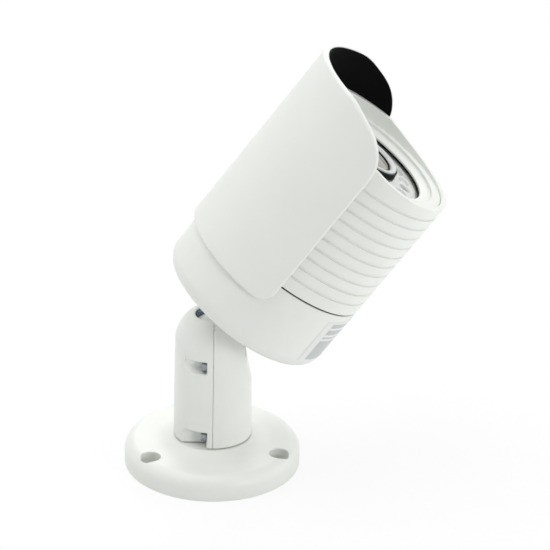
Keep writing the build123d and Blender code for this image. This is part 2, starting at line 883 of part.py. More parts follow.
# Pale plate that fills the window ledge round the lamps
with BuildPart() as lamp_mask:
    with BuildSketch(camera_plane.offset(mask_front)):
        Circle(ledge_radius - seat_gap)
        Circle(shade_outer_radius + running_gap, mode=Mode.SUBTRACT)
        with Locations(*led_places):
            Circle(led_radius, mode=Mode.SUBTRACT)
    extrude(amount=-mask_thickness)
lamp_mask.part.label = "lamp_mask"

# Standoffs and screws of the lamp board
with BuildPart() as led_standoffs:
    with BuildSketch(camera_plane.offset(frame_front)):
        with Locations(*led_standoff_places):
            Circle(led_standoff_radius)
    extrude(amount=led_board_rear - frame_front)
    with BuildSketch(camera_plane.offset(led_board_rear)):
        with Locations(*led_standoff_places):
            Circle(led_screw_radius + thread_gap)
    extrude(amount=-led_screw_length, mode=Mode.SUBTRACT)
led_standoffs.part.label = "led_standoffs"

led_screw = socket_screw(
    led_screw_head_radius,
    led_screw_head_height,
    led_screw_radius,
    led_screw_length,
    led_screw_key_radius,
)
with BuildPart() as led_screws:
    with Locations(*[facing_front(*place, led_board_front) for place in led_standoff_places]):
        add(led_screw)
led_screws.part.label = "led_screws"

# Ring through the window that keeps the lamps' light out of the lens
with BuildPart() as lens_shade:
    add(
        turned(
            [
                (shade_inner_radius, led_board_front),
                (shade_outer_radius, led_board_front),
                (shade_outer_radius, shade_front),
                (shade_inner_radius + shade_bevel, shade_front),
                (shade_inner_radius, lens_front),
            ]
        )
    )
lens_shade.part.label = "lens_shade"

# Lens with its front element
with BuildPart() as lens_barrel:
    add(
        turned(
            [
                (lens_bore_radius, lens_rear),
                (lens_thread_radius, lens_rear),
                (lens_thread_radius, holder_front + lens_shoulder),
                (lens_radius, holder_front + lens_shoulder),
                (lens_radius, lens_front),
                (lens_pocket_radius, lens_front),
                (lens_pocket_radius, element_seat),
                (lens_bore_radius, element_seat),
            ]
        )
    )
lens_barrel.part.label = "lens_barrel"

with BuildPart() as front_element:
    with BuildSketch(camera_side):
        with BuildLine():
            element_edge = lens_pocket_radius - seat_gap
            element_front = element_seat + element_thickness
            rim = Polyline((0, element_seat), (element_edge, element_seat), (element_edge, element_front))
            crown_radius = (element_edge**2 + element_crown**2) / (2 * element_crown)
            crown = RadiusArc(rim @ 1, (0, element_front + element_crown), -crown_radius)
            Line(crown @ 1, rim @ 0)
        make_face()
    revolve(axis=camera_axis)
front_element.part.label = "front_element"

# Lens holder on the sensor board, with the slot of the filter slider
with BuildPart() as lens_holder:
    with BuildSketch(camera_plane.offset(sensor_board_front)):
        Rectangle(holder_side, holder_side)
    extrude(amount=holder_length)
    with BuildSketch(camera_plane.offset(sensor_board_front)):
        Rectangle(holder_pocket_side, holder_pocket_side)
    extrude(amount=holder_pocket_depth, mode=Mode.SUBTRACT)
    with BuildSketch(camera_plane.offset(sensor_board_front)):
        Circle(light_hole_radius)
    extrude(amount=holder_length, mode=Mode.SUBTRACT)
    with BuildSketch(camera_plane.offset(holder_front)):
        Circle(lens_thread_radius + thread_gap)
    extrude(amount=-holder_thread_depth, mode=Mode.SUBTRACT)
    with BuildSketch(camera_plane.offset(filter_slot_rear)):
        Rectangle(holder_side, slider_width + 2 * filter_slot_gap)
    extrude(amount=filter_slot_height, mode=Mode.SUBTRACT)
lens_holder.part.label = "lens_holder"

# Slider with one clear window and one that holds the infrared-cut filter
slider_end = slider_window_radius + slider_margin
with BuildPart() as ir_cut_slider:
    with BuildSketch(camera_plane.offset(slider_rear)):
        with Locations((-slider_travel / 2, 0)):
            Rectangle(slider_travel + 2 * slider_end, slider_width)
        with Locations((0, 0), (-slider_travel, 0)):
            Circle(slider_window_radius, mode=Mode.SUBTRACT)
    extrude(amount=slider_thickness)
ir_cut_slider.part.label = "ir_cut_slider"

with BuildPart() as ir_filter:
    with BuildSketch(camera_plane.offset(slider_rear)):
        Circle(slider_window_radius - thread_gap)
    extrude(amount=slider_thickness)
ir_filter.part.label = "ir_filter"

with BuildPart() as ir_cut_coil:
    coil_centre = holder_side / 2 + coil_size[0] / 2
    with BuildSketch(camera_plane.offset(sensor_board_front)):
        with Locations((coil_centre, 0)):
            Rectangle(coil_size[0], coil_size[1])
    extrude(amount=coil_size[2])
ir_cut_coil.part.label = "ir_cut_coil"

# Inner frame, screwed to the barrel's bosses
with BuildPart() as inner_frame:
    with BuildSketch(camera_plane.offset(frame_rear)):
        Circle(frame_radius)
        Rectangle(frame_window, frame_window, mode=Mode.SUBTRACT)
        with Locations(*frame_boss_places):
            Circle(frame_screw_radius + seat_gap, mode=Mode.SUBTRACT)
        with GridLocations(standoff_spacing, standoff_spacing, 2, 2):
            Circle(standoff_stud_radius + seat_gap, mode=Mode.SUBTRACT)
    extrude(amount=frame_thickness)
inner_frame.part.label = "inner_frame"

frame_screw = socket_screw(
    frame_screw_head_radius,
    frame_screw_head_height,
    frame_screw_radius,
    frame_screw_length,
    frame_screw_key_radius,
)
with BuildPart() as frame_screws:
    with Locations(*[facing_rear(*place, frame_rear) for place in frame_boss_places]):
        add(frame_screw)
frame_screws.part.label = "frame_screws"


def circuit_board(rear):
    """A square board with a hole in each corner."""
    with BuildPart() as board:
        with BuildSketch(camera_plane.offset(rear)):
            Rectangle(board_side, board_side)
            with GridLocations(standoff_spacing, standoff_spacing, 2, 2):
                Circle(standoff_stud_radius + screw_gap, mode=Mode.SUBTRACT)
        extrude(amount=board_thickness)
    return board.part


# Circuit boards behind the frame and what is soldered to them
with BuildPart() as sensor_board:
    add(circuit_board(sensor_board_rear))
sensor_board.part.label = "sensor_board"

with BuildPart() as main_board:
    add(circuit_board(main_board_rear))
main_board.part.label = "main_board"

with BuildPart() as image_sensor:
    with BuildSketch(camera_plane.offset(sensor_board_front)):
        Rectangle(sensor_side, sensor_side)
    extrude(amount=sensor_thickness)
image_sensor.part.label = "image_sensor"

with BuildPart() as processor_chip:
    with BuildSketch(camera_plane.offset(main_board_front)):
        Rectangle(processor_side, processor_side)
    extrude(amount=processor_thickness)
processor_chip.part.label = "processor_chip"

with BuildPart() as cable_header:
    with BuildSketch(camera_plane.offset(main_board_rear)):
        with Locations((header_offset, 0)):
            Rectangle(header_size[0], header_size[1])
    extrude(amount=-header_size[2])
cable_header.part.label = "cable_header"

# Standoffs with studs: the front set screws into the frame, the rear set into the front set
with BuildPart() as board_standoffs:
    for station, length in (
        (sensor_board_front, front_standoff_length),
        (main_board_front, rear_standoff_length),
    ):
        with BuildSketch(camera_plane.offset(station)):
            with GridLocations(standoff_spacing, standoff_spacing, 2, 2):
                Circle(standoff_radius)
        extrude(amount=length)
        with BuildSketch(camera_plane.offset(station)):
            with GridLocations(standoff_spacing, standoff_spacing, 2, 2):
                Circle(standoff_stud_radius + thread_gap)
        extrude(amount=board_screw_length - board_thickness + seat_gap, mode=Mode.SUBTRACT)
    with BuildSketch(camera_plane.offset(frame_rear)):
        with GridLocations(standoff_spacing, standoff_spacing, 2, 2):
            Circle(standoff_stud_radius)
    extrude(amount=frame_thickness)
    with BuildSketch(camera_plane.offset(sensor_board_rear)):
        with GridLocations(standoff_spacing, standoff_spacing, 2, 2):
            Circle(standoff_stud_radius)
    extrude(amount=standoff_stud_length)
board_standoffs.part.label = "board_standoffs"

board_screw = socket_screw(
    board_screw_head_radius,
    board_screw_head_height,
    standoff_stud_radius,
    board_screw_length,
    board_screw_key_radius,
)
corner = standoff_spacing / 2
board_corners = [(corner, corner), (corner, -corner), (-corner, corner), (-corner, -corner)]
with BuildPart() as board_screws:
    with Locations(*[facing_rear(*place, main_board_rear) for place in board_corners]):
        add(board_screw)
board_screws.part.label = "board_screws"

# One file for each piece
pieces = [
    base_flange,
    post_left,
    post_right,
    upper_clamp_screws,
    lower_clamp_screws,
    ball_stud,
    neck_washer,
    neck_nut,
    cable_grommet,
    neck_seal,
    rear_housing,
    body_seal,
    housing_screws,
    barrel,
    hood,
    hood_liner,
    hood_screws,
    bezel,
    window_gasket,
    window_glass,
    lens_seal,
    led_board,
    ir_leds,
    photocell,
    lamp_mask,
    led_standoffs,
    led_screws,
    lens_shade,
    lens_barrel,
    front_element,
    lens_holder,
    ir_cut_slider,
    ir_filter,
    ir_cut_coil,
    inner_frame,
    frame_screws,
    sensor_board,
    image_sensor,
    main_board,
    processor_chip,
    cable_header,
    board_standoffs,
    board_screws,
]
os.makedirs("parts", exist_ok=True)
for piece in pieces:
    export_step(piece.part, f"parts/{piece.part.label}.step")
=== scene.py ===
# %% [markdown]
# # A bullet security camera on a ball-joint post
#
# This lesson dresses a solid model of an outdoor camera. The solids are already at their real size and
# place, so nothing here is moved. We look at one piece after another, decide what it is made of and how
# it was made, and then either give the solid a finish or model a finer piece that stands for it.

# %% Load the solid model
import json
from bisect import bisect_left
from math import cos, hypot, pi, radians, sin

import bmesh
import bpy
from mathutils import Matrix, Vector


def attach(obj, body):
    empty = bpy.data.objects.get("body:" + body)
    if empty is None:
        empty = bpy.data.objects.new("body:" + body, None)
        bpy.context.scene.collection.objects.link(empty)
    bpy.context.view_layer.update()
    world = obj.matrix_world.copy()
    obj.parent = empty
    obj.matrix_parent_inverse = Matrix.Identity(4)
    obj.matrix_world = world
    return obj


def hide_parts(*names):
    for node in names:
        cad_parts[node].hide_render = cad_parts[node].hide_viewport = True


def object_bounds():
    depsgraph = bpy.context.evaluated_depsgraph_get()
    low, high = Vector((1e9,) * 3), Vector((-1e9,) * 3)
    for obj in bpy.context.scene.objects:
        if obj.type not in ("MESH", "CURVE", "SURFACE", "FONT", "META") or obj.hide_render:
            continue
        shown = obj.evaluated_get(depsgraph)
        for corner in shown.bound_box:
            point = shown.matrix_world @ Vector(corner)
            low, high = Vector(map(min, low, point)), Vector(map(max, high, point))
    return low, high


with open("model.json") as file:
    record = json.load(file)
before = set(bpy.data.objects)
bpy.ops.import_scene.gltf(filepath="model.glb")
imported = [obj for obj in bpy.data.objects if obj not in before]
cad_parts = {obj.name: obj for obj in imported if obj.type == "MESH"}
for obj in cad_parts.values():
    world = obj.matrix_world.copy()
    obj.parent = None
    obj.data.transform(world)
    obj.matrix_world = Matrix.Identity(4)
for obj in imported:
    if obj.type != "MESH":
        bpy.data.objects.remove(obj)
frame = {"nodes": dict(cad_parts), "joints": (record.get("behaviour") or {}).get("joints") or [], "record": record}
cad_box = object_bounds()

# %% [markdown]
# ## The camera's own axes
#
# The camera leans, so its pieces are awkward to describe in world axes. The joints of the model know
# better: the roll joint runs along the camera, and the filter slides straight up in it. From those two
# directions we make a matrix, and then a point is simply (up, side, along) in millimetres, counted from
# the ball's centre.

# %% Axes and measures
MM = 0.001
joints = {joint["name"]: joint for joint in frame["joints"]}
along = Vector(joints["camera_roll"]["axis"]).normalized()
upward = Vector(joints["filter_slide"]["axis"]).normalized()
sideways = along.cross(upward)
ball_centre = Vector(joints["camera_roll"]["pos_m"])
turned_frame = Matrix((upward, sideways, along)).transposed().to_4x4()
camera_axes = Matrix.Translation(ball_centre) @ turned_frame @ Matrix.Scale(MM, 4)
to_camera = camera_axes.inverted()


def points_of(node):
    """A solid's corners as (up, side, along) in millimetres."""
    return [to_camera @ vertex.co for vertex in frame["nodes"][node].data.vertices]


def radius_of(point):
    """How far a point lies from the camera's axis."""
    return hypot(point.x, point.y)


def stations(node):
    """Where a solid starts and ends along the camera, and its largest radius."""
    points = points_of(node)
    reach = [point.z for point in points]
    return min(reach), max(reach), max(radius_of(point) for point in points)


barrel_rear, rim_station, barrel_radius = stations("barrel")
print(f"barrel from {barrel_rear:.1f} to {rim_station:.1f} mm, radius {barrel_radius:.1f} mm")

# %% [markdown]
# ## Colours and nodes
#
# We write colours as hex values, as a paint card would, but a shader mixes light, so it wants linear
# numbers. One function converts them. A second one adds a node to a material with its settings, its
# fixed values and its links, so that a whole material reads as a short list.

# %% Helpers for materials
def colour(code):
    """Linear RGBA of an sRGB hex colour."""
    channels = [int(code[place : place + 2], 16) / 255 for place in (1, 3, 5)]
    linear = [c / 12.92 if c <= 0.04045 else ((c + 0.055) / 1.055) ** 2.4 for c in channels]
    return (*linear, 1.0)


def add_node(tree, kind, inputs=None, **settings):
    """Add one node. An input may be a plain value or another node's output."""
    node = tree.nodes.new(kind)
    for name, value in settings.items():
        setattr(node, name, value)
    for socket, value in (inputs or {}).items():
        if isinstance(value, bpy.types.NodeSocket):
            tree.links.new(value, node.inputs[socket])
        else:
            node.inputs[socket].default_value = value
    return node


def blank_material(name):
    """A material whose node tree is still empty, and that tree."""
    material = bpy.data.materials.new(name)
    material.use_nodes = True
    material.node_tree.nodes.clear()
    return material, material.node_tree


print("a mid grey of the paint card is", round(colour("#808080")[0], 3), "in linear light")

# %% [markdown]
# ## Finishes with a grain
#
# Most finishes here are one idea at different scales: a surface with a fine grain, whose tone and gloss
# wander a little and whose relief catches the light. The grain's size comes in millimetres, because
# Object coordinates are metres and a noise texture's scale counts its bumps per metre. The tone wanders
# more slowly than the grain, in clouds many grains wide.

# %% A grained finish
CLOUD_GRAINS = 24
GLOSS_SPREAD = 0.05
# A Mix node has sockets of the same name for numbers, vectors and colours, so its colours go by number
MIX_FIRST = 6
MIX_SECOND = 7
MIX_RESULT = 2


def grained(name, dark, light, grain, roughness, relief, **surface):
    """A finish whose tone runs between two colours, with grain and relief in millimetres."""
    material, tree = blank_material(name)
    place = add_node(tree, "ShaderNodeTexCoord").outputs["Object"]
    grain_scale = 1 / (grain * MM)
    grain_inputs = {"Vector": place, "Scale": grain_scale, "Detail": 3.0}
    noise = add_node(tree, "ShaderNodeTexNoise", grain_inputs)
    cloud_inputs = {"Vector": place, "Scale": grain_scale / CLOUD_GRAINS, "Detail": 2.0}
    cloud = add_node(tree, "ShaderNodeTexNoise", cloud_inputs)
    tones = {"Factor": cloud.outputs["Fac"], MIX_FIRST: colour(dark), MIX_SECOND: colour(light)}
    tone = add_node(tree, "ShaderNodeMix", tones, data_type="RGBA")
    spread = {
        "Value": noise.outputs["Fac"],
        "To Min": roughness - GLOSS_SPREAD,
        "To Max": roughness + GLOSS_SPREAD,
    }
    gloss = add_node(tree, "ShaderNodeMapRange", spread)
    bump_inputs = {"Height": noise.outputs["Fac"], "Distance": relief * MM, "Strength": 1.0}
    bump = add_node(tree, "ShaderNodeBump", bump_inputs)
    shader_inputs = {
        "Base Color": tone.outputs[MIX_RESULT],
        "Roughness": gloss.outputs["Result"],
        "Normal": bump.outputs["Normal"],
    }
    shader_inputs.update(surface)
    shader = add_node(tree, "ShaderNodeBsdfPrincipled", shader_inputs)
    add_node(tree, "ShaderNodeOutputMaterial", {"Surface": shader.outputs["BSDF"]})
    return material


# %% [markdown]
# The castings wear a white polyester powder coat. The powder is sprayed dry and baked, so it flows out
# almost smooth and keeps a faint orange peel. The white leans a little to green-grey. The orange peel of
# a real coat is about half a millimetre across; it is drawn slightly coarser so that a render can show
# it. The screws are plated with bright zinc, drawn in a darker grey that is a painted dark reflection. The
# frame and the standoffs are aluminium as it was milled, a soft pale metal. The bore for the ball is cut
# bare, and its blue-grey tone is a painted reflection in the metal's colour.

# %% Metals and coats
coat = grained("white_powder_coat", "#e0e3de", "#e6e8e3", grain=0.9, roughness=0.40, relief=0.006)
# Painted reflection: the zinc is drawn darker than bright zinc, to show dark reflections.
zinc = grained(
    "zinc_plated_steel", "#7d8286", "#aeb3b7", grain=0.25, roughness=0.14, relief=0.003, Metallic=1.0,
)
alloy = grained(
    "plain_aluminium", "#b9bdbf", "#d4d7d8", grain=0.4, roughness=0.34, relief=0.004, Metallic=1.0,
)
# Painted reflection: the bore's blue-grey tone is laid into the metal's colour.
bored = grained(
    "bored_aluminium", "#93a3b8", "#b3c0d0", grain=0.5, roughness=0.28, relief=0.004, Metallic=0.9,
)
print("metals:", coat.name, zinc.name, alloy.name, bored.name)

# %% [markdown]
# Rubber and moulded plastic take the texture of their mould. Rubber is duller, the lens parts are black
# so that they throw no stray light, and the ring round the lens and the plate round the lamps are pale
# mouldings. The plate is drawn near white, which is partly painted light in the shade of its recess. The
# hood's lining is a thin black moulding with a coarse matt face that swallows light, so no glare reaches
# the lens. A black surface shows every reflection, so these three get weaker ones.

# %% Black mouldings
dull = {"Specular IOR Level": 0.15}
matt = {"Specular IOR Level": 0.06}
rubber = grained(
    "black_rubber", "#0b0c0d", "#141516", grain=0.5, roughness=0.62, relief=0.010, **dull,
)
black_plastic = grained(
    "black_polycarbonate", "#090a0b", "#121315", grain=0.4, roughness=0.40, relief=0.006, **dull,
)
lining = grained(
    "matt_black_lining", "#030304", "#060607", grain=0.45, roughness=0.70, relief=0.020, **matt,
)
print("black:", rubber.name, black_plastic.name, lining.name)

# %% [markdown]
# Inside, the circuit boards wear a smooth solder mask, the chips a dull moulded resin, and the cable
# header is nylon in its natural cream. The sticker is a sheet of smooth vinyl, printed with a grey ink.

# %% Pale mouldings, boards and sticker
ring_plastic = grained("pale_abs_ring", "#c3c6c5", "#d0d2d1", grain=0.7, roughness=0.34, relief=0.005)
# Painted light: the lamp plate is drawn near white to brighten it in its shaded recess.
mask_plastic = grained("pale_lamp_mask", "#eeeeea", "#f5f5f2", grain=0.5, roughness=0.48, relief=0.006)
resin = grained("moulded_chip_resin", "#17181a", "#242528", grain=0.3, roughness=0.55, relief=0.006)
nylon = grained("natural_nylon", "#d9d6c8", "#e6e3d6", grain=0.6, roughness=0.45, relief=0.008)
plate_white = grained("white_solder_mask", "#b4b7b6", "#c3c6c5", grain=0.5, roughness=0.38, relief=0.004)
plate_green = grained("green_solder_mask", "#0d4a26", "#17633a", grain=0.5, roughness=0.33, relief=0.004)
vinyl = grained("label_vinyl", "#dcdedc", "#e3e5e3", grain=0.8, roughness=0.30, relief=0.003)
grey_ink = grained("label_grey_ink", "#b3b6b5", "#bdc0bf", grain=0.8, roughness=0.34, relief=0.003)
print("pale:", ring_plastic.name, mask_plastic.name, nylon.name, vinyl.name)

# %% [markdown]
# ## Glass
#
# The window and the filter are clear, so their whole look is reflection and refraction, and a Principled
# shader with full transmission does both. The lens carries a coating, which sends part of the light back
# with a thin tint, so its glass is mixed with some metal. The lamps are cast in clear epoxy, drawn milky
# white so that only a fifth of it transmits; that white is a painted glint on the domes.

# %% Clear materials
SMEAR_GLOSS = 0.03


def clear(name, tint, ior, smear, **surface):
    """A clear material whose polish varies a little, in smears as wide as a number of millimetres."""
    material, tree = blank_material(name)
    place = add_node(tree, "ShaderNodeTexCoord").outputs["Object"]
    smear_inputs = {"Vector": place, "Scale": 1 / (smear * MM), "Detail": 2.0}
    wipe = add_node(tree, "ShaderNodeTexNoise", smear_inputs)
    polish_inputs = {"Value": wipe.outputs["Fac"], "To Min": 0.0, "To Max": SMEAR_GLOSS}
    polish = add_node(tree, "ShaderNodeMapRange", polish_inputs)
    shader_inputs = {
        "Base Color": colour(tint),
        "Roughness": polish.outputs["Result"],
        "IOR": ior,
        "Transmission Weight": 1.0,
    }
    shader_inputs.update(surface)
    shader = add_node(tree, "ShaderNodeBsdfPrincipled", shader_inputs)
    add_node(tree, "ShaderNodeOutputMaterial", {"Surface": shader.outputs["BSDF"]})
    return material


lens_coating = {"Metallic": 0.6, "Transmission Weight": 0.7}
# Painted glint: the lamps' epoxy is drawn milky white, so that the domes look lit.
milky_painted_glint = {"Transmission Weight": 0.2}
window_clear = clear("float_glass", "#fcfefd", 1.52, smear=6.0)
lens_clear = clear("coated_optical_glass", "#bcb5a6", 1.80, smear=4.0, **lens_coating)
filter_clear = clear("infrared_cut_glass", "#bfe6e0", 1.52, smear=4.0)
lamp_clear = clear("clear_epoxy", "#f6f8f9", 1.54, smear=2.0, **milky_painted_glint)
print("clear:", window_clear.name, lens_clear.name, filter_clear.name, lamp_clear.name)

# %% [markdown]
# ## Dress every solid
#
# Each solid first gets the finish of what it is made of. Some are then replaced by finer pieces below,
# but the sealed inner parts keep their solids, and they still deserve a finish for the day someone opens
# the housing.

# %% Finishes by the record's material slots
slot_finish = {
    "white_coat": coat,
    "stud_metal": coat,
    "steel": zinc,
    "black_rubber": rubber,
    "black_lining": lining,
    "window_glass": window_clear,
    "lens_glass": lens_clear,
    "filter_glass": filter_clear,
    "lamp_board": plate_white,
    "lamp_resin": lamp_clear,
    "sensor_resin": resin,
    "mask_plastic": mask_plastic,
    "ring_plastic": ring_plastic,
    "black_plastic": black_plastic,
    "aluminium_parts": alloy,
    "circuit_board": plate_green,
    "chip_resin": resin,
    "header_plastic": nylon,
}
record = frame["record"]
slot_of = {part["node"]: part["material_slot"] for part in record["subparts"]}
body_of = {node: body for body, nodes in record["behaviour"]["bodies"].items() for node in nodes}
for node, solid in frame["nodes"].items():
    solid.data.materials.clear()
    solid.data.materials.append(slot_finish[slot_of[node]])
print("dressed", len(slot_of), "solids")

# %% [markdown]
# ## How a finer piece joins the scene
#
# A new mesh is shaped in millimetres in the camera's axes, then moved to its place in the mesh itself,
# so that the object stays at the origin. A copy of a solid is in its place already. Smooth shading with
# sharp edges above a limit, and normals weighted by face size, keep flat faces flat beside a small
# rounding. A detail is new on the object. A piece stands for a solid and takes over its body and finish.

# %% Turn a shaped mesh into a piece
SHARP_ANGLE = radians(40)


def add_object(name, data):
    """Put an object with this data into the scene, at the origin."""
    thing = bpy.data.objects.new(name, data)
    bpy.context.scene.collection.objects.link(thing)
    return thing


def add_detail(name, shape, body, finish, axes=camera_axes):
    """Name a shaped mesh, give it a finish and let it ride on a body."""
    bmesh.ops.transform(shape, matrix=axes, verts=shape.verts)
    data = bpy.data.meshes.new(name)
    shape.to_mesh(data)
    shape.free()
    data.shade_smooth()
    data.set_sharp_from_angle(angle=SHARP_ANGLE)
    data.materials.append(finish)
    piece = add_object(name, data)
    weighted = piece.modifiers.new("weighted", "WEIGHTED_NORMAL")
    weighted.keep_sharp = True
    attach(piece, body)
    print(f"{name}: {len(data.polygons)} faces")
    return piece


def add_piece(name, shape, node, axes=camera_axes):
    """A detail that stands for a solid, on the solid's body and in its finish."""
    slot = slot_of[node]
    piece = add_detail(name, shape, body_of[node], slot_finish[slot], axes)
    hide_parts(node)
    return piece


# %% [markdown]
# ## Castings with broken edges
#
# The castings, the hood and the rings of the window already have every pocket and hole in their solids.
# What a solid lacks is the soft edge that the mould, the lathe and the coat give. We copy its mesh,
# merge the loose triangles, dissolve what is flat, and bevel each edge that turns sharply. The hood's
# edges are round in its solid already, so its copy is only merged.

# %% Softened copies of the solids
# Points and measures this near to each other, in millimetres, count as the same
TOUCH = 0.001
FLAT_ANGLE = radians(0.3)
EDGE_ANGLE = radians(24)


def round_edges(shape, width):
    """Bevel each edge that turns sharply, by a width in the mesh's own unit."""
    sharp = [edge for edge in shape.edges if edge.is_manifold and edge.calc_face_angle() > EDGE_ANGLE]
    bmesh.ops.bevel(
        shape, geom=sharp, offset=width, offset_type="OFFSET", segments=2, profile=0.5,
        affect="EDGES", material=-1, clamp_overlap=False,
    )


def soften(node, width):
    """A copy of a solid, with its sharp edges rounded by a width in millimetres unless that is 0."""
    shape = bmesh.new()
    shape.from_mesh(frame["nodes"][node].data)
    bmesh.ops.remove_doubles(shape, verts=shape.verts, dist=TOUCH * MM)
    bmesh.ops.dissolve_limit(shape, angle_limit=FLAT_ANGLE, verts=shape.verts, edges=shape.edges)
    if width:
        round_edges(shape, width * MM)
    return add_piece(f"soft_{node}", shape, node, axes=Matrix.Identity(4))


edge_widths = {
    "base_flange": 0.35,
    "post_left": 0.3,
    "post_right": 0.3,
    "rear_housing": 0.25,
    "hood": 0,
    "hood_liner": 0.08,
    "bezel": 0.2,
    "window_gasket": 0.1,
    "lens_seal": 0.15,
    "lens_shade": 0.3,
    "lens_barrel": 0.12,
    "lamp_mask": 0.12,
    "upper_clamp_screws": 0.18,
    "lower_clamp_screws": 0.18,
    "housing_screws": 0.18,
}
soft_copies = {node: soften(node, width) for node, width in edge_widths.items()}

# %% [markdown]
# The post's halves are coated first and bored for the ball afterwards. Where the ball leaves the bore
# free, above its middle, the bare metal shows as a sickle, whose blue-grey tone is a painted reflection. A
# face belongs to the bore when it lies near enough to the post's axis and looks towards it.

# %% Bare metal in the post's bore, with a painted blue-grey reflection
BORE_RADIUS = 7.1
INWARD = -0.5
for half in ("post_left", "post_right"):
    post_mesh = soft_copies[half].data
    post_mesh.materials.append(bored)
    for face in post_mesh.polygons:
        outward = Vector((face.center.x, face.center.y, 0.0))
        faces_inward = face.normal.dot(outward.normalized()) < INWARD
        in_bore = face.center.z > ball_centre.z and outward.length < BORE_RADIUS * MM
        face.material_index = int(faces_inward and in_bore)
    print(half, "has", sum(face.material_index for face in post_mesh.polygons), "bare faces")

# %% [markdown]
# ## Turned pieces
#
# The barrel, the window and the lens are bodies of revolution. Half of the section is drawn as a closed
# loop of (radius, station) corners and spun round the camera's axis. An edge that lies on the axis is
# left out, since it would sweep no face. The corners are drawn sharp and rounded by one bevel
# afterwards, which keeps the section short and the rounding even.

# %% Spin a section round the camera
RING_STEPS = 144


def turned(section, rounding):
    """A closed body of revolution about the camera's axis, from its (radius, station) corners."""
    shape = bmesh.new()
    corners = [shape.verts.new((radius, 0.0, station)) for radius, station in section]
    loop = [shape.edges.new(pair) for pair in zip(corners, corners[1:] + corners[:1])]
    for edge in list(loop):
        if all(vert.co.x < TOUCH for vert in edge.verts):
            shape.edges.remove(edge)
            loop.remove(edge)
    bmesh.ops.spin(
        shape, geom=corners + loop, cent=(0, 0, 0), axis=(0, 0, 1), angle=2 * pi, steps=RING_STEPS,
        use_merge=True, use_duplicate=False,
    )
    bmesh.ops.remove_doubles(shape, verts=shape.verts, dist=TOUCH)
    bmesh.ops.recalc_face_normals(shape, faces=shape.faces)
    if rounding:
        round_edges(shape, rounding)
    return shape


# %% [markdown]
# ## The barrel
#
# The barrel is turned from aluminium with ten narrow grooves, which give the housing more surface to
# shed heat. The tube's wall is thinner at the front, where it is a collar round the window. Inside, one
# plain ring lies where the bosses of the housing's screws are, and reaches as far in as they do. Unlike
# the solid, this section has no ledge behind the window, so a dark line shows round the glass.

# %% Section of the barrel
BARREL_WALL = 3.0
COLLAR_WALL = 2.2
BARREL_ROUNDING = 0.25
GROOVE_COUNT = 10
GROOVE_START = 5.42
GROOVE_PITCH = 4.784
GROOVE_WIDTH = 0.8
GROOVE_DEPTH = 0.7

barrel_bore = barrel_radius - BARREL_WALL
front_bore = barrel_radius - COLLAR_WALL
groove_floor = barrel_radius - GROOVE_DEPTH
groove_middles = [barrel_rear + GROOVE_START + step * GROOVE_PITCH for step in range(GROOVE_COUNT)]
last_groove_end = groove_middles[-1] + GROOVE_WIDTH / 2
barrel_points = points_of("barrel")
boss_reach = min(radius_of(point) for point in barrel_points)
boss_stations = [point.z for point in barrel_points if radius_of(point) < boss_reach + TOUCH]
boss_rear = min(boss_stations)
boss_front = max(boss_stations)

barrel_section = [(barrel_bore, barrel_rear), (barrel_radius, barrel_rear)]
for middle in groove_middles:
    start = middle - GROOVE_WIDTH / 2
    end = middle + GROOVE_WIDTH / 2
    barrel_section += [(barrel_radius, start), (groove_floor, start)]
    barrel_section += [(groove_floor, end), (barrel_radius, end)]
barrel_section += [(barrel_radius, rim_station), (front_bore, rim_station), (front_bore, boss_front)]
barrel_section += [(boss_reach, boss_front), (boss_reach, boss_rear), (barrel_bore, boss_rear)]
print(len(barrel_section), "corners in the barrel's section")

# %% [markdown]
# The front rim falls back below the hood. We spin the section with a straight rim and then slide the
# rim's corners back to where the solid's rim is at that height, so that the rounding of the rim comes
# along unharmed.

# %% Barrel with a slanted rim
def value_at(outline, place):
    """Read a value between the sorted (place, value) pairs of an outline."""
    after = min(max(bisect_left(outline, (place,)), 1), len(outline) - 1)
    (low, first), (high, second) = outline[after - 1], outline[after]
    share = (place - low) / (high - low) if high > low else 0.0
    return first + (second - first) * min(max(share, 0.0), 1.0)


barrel = turned(barrel_section, BARREL_ROUNDING)
skin = [point for point in barrel_points if radius_of(point) > barrel_radius - TOUCH]
rim_edge = sorted((point.x, point.z) for point in skin if point.z > last_groove_end + GROOVE_WIDTH)
for vert in barrel.verts:
    if vert.co.z > rim_station - GROOVE_WIDTH:
        vert.co.z -= rim_station - value_at(rim_edge, vert.co.x)
add_piece("grooved_barrel", barrel, "barrel")

# %% [markdown]
# ## Window and lens
#
# The window is a flat ring of glass over the lamps. The lens looks out through its middle, so that no
# lamp light can travel through the glass into the lens.

# %% The window
GLASS_ROUNDING = 0.2
glass_rear, glass_front, glass_radius = stations("window_glass")
glass_hole = min(radius_of(point) for point in points_of("window_glass"))
glass_section = [(glass_hole, glass_rear), (glass_radius, glass_rear)]
glass_section += [(glass_radius, glass_front), (glass_hole, glass_front)]
add_piece("front_window", turned(glass_section, GLASS_ROUNDING), "window_glass")

# %% [markdown]
# The lens's front element is a strongly curved piece of coated glass in a black barrel. Its rim and its
# apex, read off the solid, give the radius of the sphere, and its section follows that arc.

# %% The front element
CROWN_STEPS = 16
element_rear, element_apex, element_radius = stations("front_element")
element_points = points_of("front_element")
edge_stations = [point.z for point in element_points if radius_of(point) > element_radius - TOUCH]
crown = element_apex - max(edge_stations)
crown_radius = (element_radius**2 + crown**2) / (2 * crown)
element_section = [(0, element_rear), (element_radius, element_rear)]
for step in range(CROWN_STEPS + 1):
    radius = element_radius * (1 - step / CROWN_STEPS)
    station = element_apex - crown_radius + (crown_radius**2 - radius**2) ** 0.5
    element_section.append((radius, station))
add_piece("front_lens", turned(element_section, 0), "front_element")
